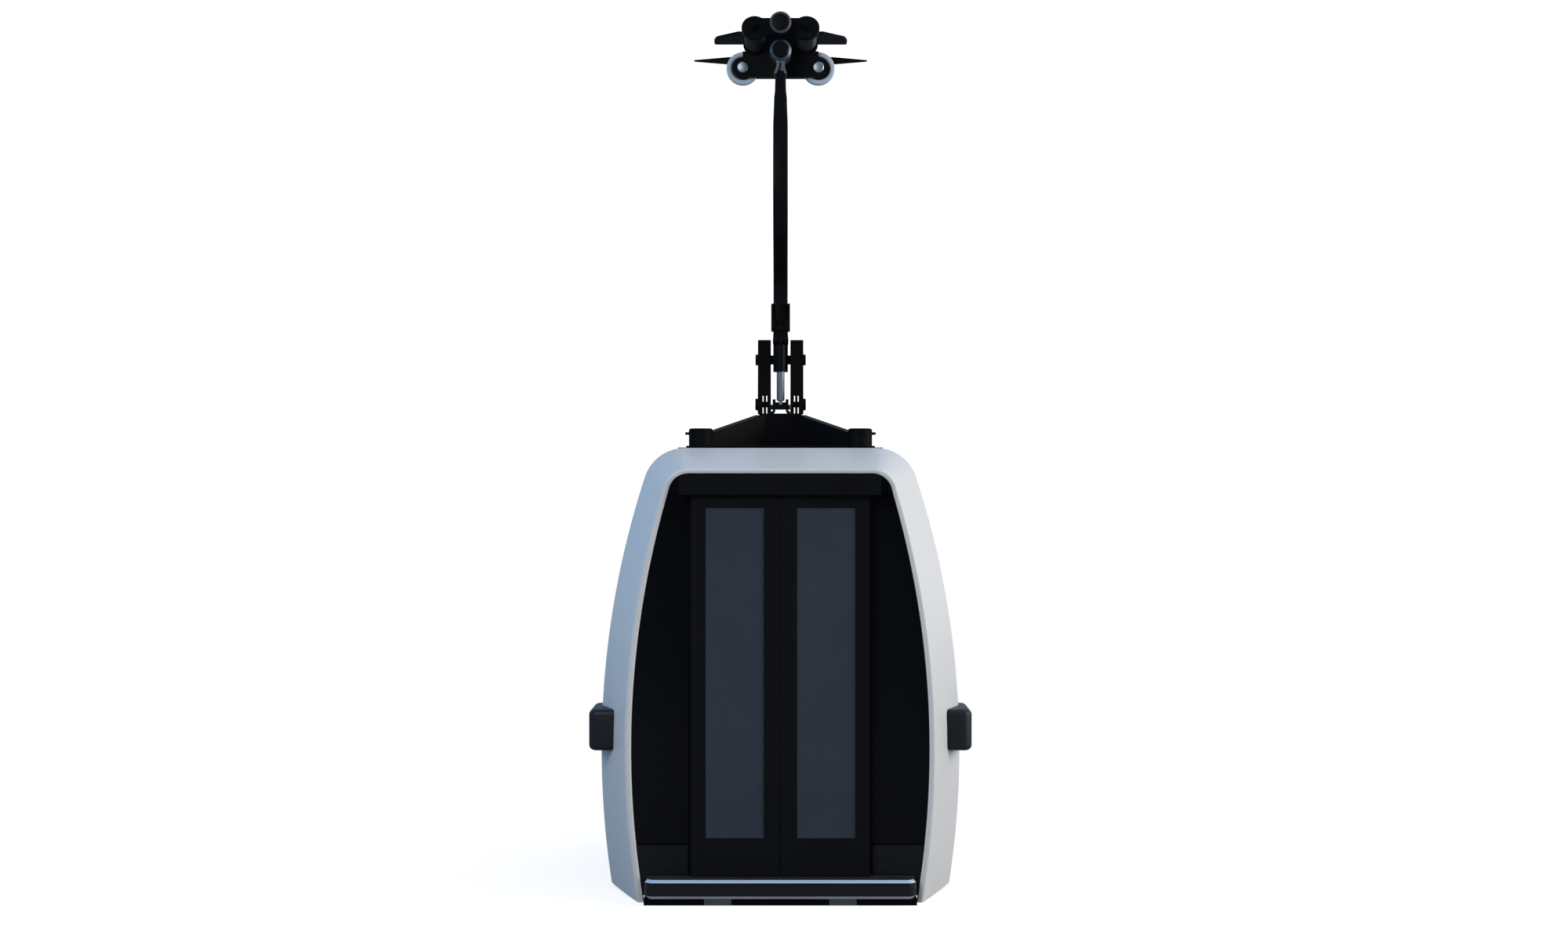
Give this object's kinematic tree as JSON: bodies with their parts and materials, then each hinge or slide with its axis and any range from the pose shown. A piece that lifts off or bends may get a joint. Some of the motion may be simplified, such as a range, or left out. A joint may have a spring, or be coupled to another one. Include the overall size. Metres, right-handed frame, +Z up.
{
  "type": "ropeway gondola cabin",
  "caption": "Enclosed passenger cabin with sliding doors, hung from a bowed arm on a detachable rope grip with running wheels.",
  "frame": {"origin": "middle of the haul rope where the two jaws of the grip close on it", "axes": "+X along the rope, -Y toward the side with the doors, +Z up"},
  "size_m": [1.89, 1.8, 4.403],
  "materials": {
    "black_paint": "satin black coating",
    "forged_steel": "dark phosphated forging",
    "bright_steel": "zinc plated",
    "spring_steel": "black coated spring wire",
    "zinc_steel": "zinc plated",
    "black_roller": "cast nylon",
    "pale_tyre": "pale cast polyurethane",
    "galvanised": "galvanised",
    "bronze": "plain bearing bronze",
    "chrome_rod": "hard chrome",
    "black_alloy": "black powder coat on aluminium",
    "black_rubber": "moulded rubber",
    "black_plastic": "black moulded sheet",
    "white_shell": "white lacquered composite sandwich",
    "tinted_screen": "grey tinted acrylic",
    "dark_screen": "dark tinted acrylic",
    "door_screen": "grey-blue tinted acrylic",
    "anodised": "natural anodised",
    "floor_alloy": "ribbed aluminium",
    "black_gloss": "gloss black powder coat",
    "seat_cover": "dark grey coated upholstery over foam"
  },
  "bodies": {
    "grip": {"carrier_frame": "black_paint", "fixed_jaw": "forged_steel", "rope_guides": "black_paint", "friction_plate": "black_paint", "wheel_axles": "bright_steel", "pivot_shaft": "black_paint", "spring_left": "spring_steel", "spring_right": "spring_steel"},
    "clamp": {"spring_plate": "black_paint", "draw_rods": "black_paint", "rod_nuts": "black_paint", "moving_jaw": "forged_steel", "release_shaft": "zinc_steel"},
    "roller": {"release_roller": "black_roller"},
    "wheel_left": {"left_wheel_hub": "zinc_steel", "left_wheel_tyre": "pale_tyre"},
    "wheel_right": {"right_wheel_hub": "zinc_steel", "right_wheel_tyre": "pale_tyre"},
    "hanger": {"hanger_head": "galvanised", "hanger_bush": "bronze", "hanger_arm": "black_paint", "hanger_socket": "black_paint", "socket_pins": "zinc_steel", "hanger_foot": "black_paint"},
    "damper_barrel": {"damper_barrel": "black_paint"},
    "damper_rod": {"damper_rod": "chrome_rod"},
    "cabin": {"pivot_pin": "black_paint", "suspension_posts": "black_alloy", "post_bolts": "black_paint", "damper_yoke": "black_paint", "roof_frame": "black_alloy", "buffer_caps": "black_paint", "buffer_rubbers": "black_rubber", "roof_plate": "black_alloy", "roof_vents": "black_plastic", "roof_shell": "white_shell", "front_portal": "white_shell", "rear_portal": "white_shell", "end_panels": "white_shell", "windscreens": "tinted_screen", "bumpers": "black_rubber", "rear_window": "tinted_screen", "rear_frame": "black_alloy", "side_glasses": "dark_screen", "door_surround": "black_alloy", "header_cover": "black_plastic", "door_track": "anodised", "floor_pan": "floor_alloy", "under_frame": "black_alloy", "floor_skids": "anodised", "step_plate": "floor_alloy", "step_rail": "black_gloss", "sill_panels": "black_plastic", "bench_frames": "anodised", "seat_cushions": "seat_cover", "backrests": "seat_cover"},
    "door_left": {"left_door_frame": "black_alloy", "left_door_glass": "door_screen"},
    "door_right": {"right_door_frame": "black_alloy", "right_door_glass": "door_screen"}
  },
  "joints": [
    {"name": "left_wheel_spin", "type": "hinge", "parent": "grip", "child": "wheel_left", "pos_m": [-0.195, -0.12, -0.059], "axis": [0, 1, 0], "continuous": true},
    {"name": "right_wheel_spin", "type": "hinge", "parent": "grip", "child": "wheel_right", "pos_m": [0.195, -0.12, -0.059], "axis": [0, 1, 0], "continuous": true},
    {"name": "grip_release", "type": "slide", "parent": "grip", "child": "clamp", "axis": [0, 0.9397, -0.342], "range_m": [0, 0.038], "stiffness_N_per_m": 20000, "springref_m": -0.02, "deforming": ["spring_left", "spring_right"]},
    {"name": "release_roller_spin", "type": "hinge", "parent": "clamp", "child": "roller", "pos_m": [0, -0.361, 0.128], "axis": [0, 1, 0], "continuous": true},
    {"name": "hanger_swing", "type": "hinge", "parent": "grip", "child": "hanger", "pos_m": [0, -0.2625, 0], "axis": [0, 1, 0], "range_deg": [-30, 30]},
    {"name": "cabin_sway", "type": "hinge", "parent": "hanger", "child": "cabin", "pos_m": [0, 0, -1.556], "axis": [1, 0, 0], "range_deg": [-8, 8]},
    {"name": "damper_pivot", "type": "hinge", "parent": "hanger", "child": "damper_barrel", "pos_m": [0, -0.085, -1.456], "axis": [1, 0, 0], "range_deg": [-6, 6]},
    {"name": "damper_stroke", "type": "slide", "parent": "damper_barrel", "child": "damper_rod", "axis": [0, 0.03, -0.9995], "range_m": [-0.012, 0.012]},
    {"name": "left_door_slide", "type": "slide", "parent": "cabin", "child": "door_left", "axis": [-1, 0, 0], "range_m": [0, 0.395]},
    {"name": "right_door_slide", "type": "slide", "parent": "cabin", "child": "door_right", "axis": [1, 0, 0], "range_m": [0, 0.395]}
  ],
  "couplings": [
    {"joint": "damper_pivot", "follows": "cabin_sway", "ratio": 0.694},
    {"joint": "damper_stroke", "follows": "cabin_sway", "m_per_rad": 0.082},
    {"joint": "right_door_slide", "follows": "left_door_slide", "ratio": 1}
  ]
}
